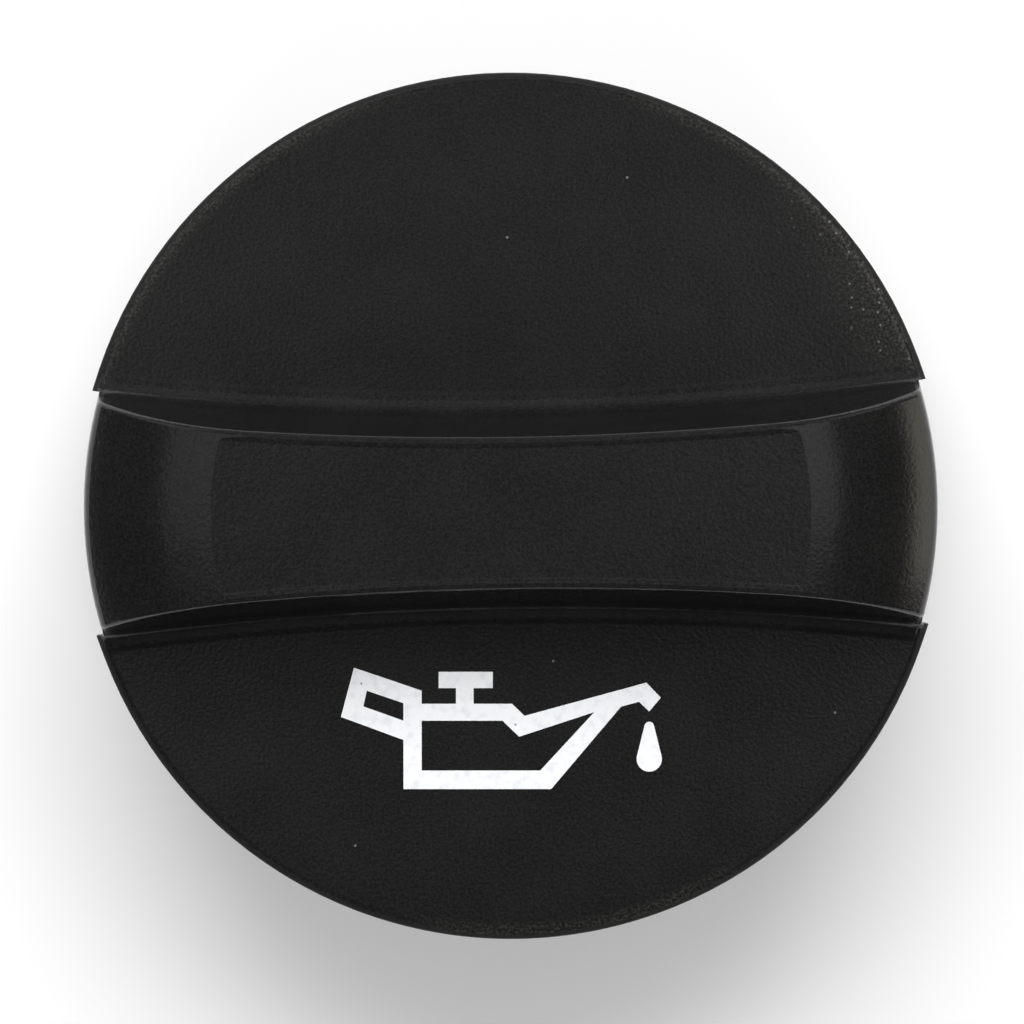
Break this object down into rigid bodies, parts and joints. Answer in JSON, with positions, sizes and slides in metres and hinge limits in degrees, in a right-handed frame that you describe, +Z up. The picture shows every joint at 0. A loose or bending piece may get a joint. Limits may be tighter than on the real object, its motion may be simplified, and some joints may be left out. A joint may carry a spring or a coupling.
{
  "type": "oil filler cap",
  "caption": "Round black oil filler cap with a waisted raised grip bar, half-moon finger rests, a printed oil can symbol, a bayonet plug and a sealing ring below.",
  "frame": {"origin": "on the cap's axis, at the lower end of the plug, on which the cap stands", "axes": "+Z up along the cap's axis, X along the grip bar, the oil can symbol on the -Y half-moon"},
  "size_m": [0.0714, 0.072, 0.0326],
  "materials": {
    "black_plastic": "fine grain",
    "plug_plastic": "plain",
    "seal_rubber": "matte",
    "white_ink": "printed"
  },
  "bodies": {
    "root": {"grip_cap": "black_plastic", "bayonet_plug": "plug_plastic", "sealing_ring": "seal_rubber", "oil_can_print": "white_ink", "oil_drop_print": "white_ink"}
  },
  "joints": []
}
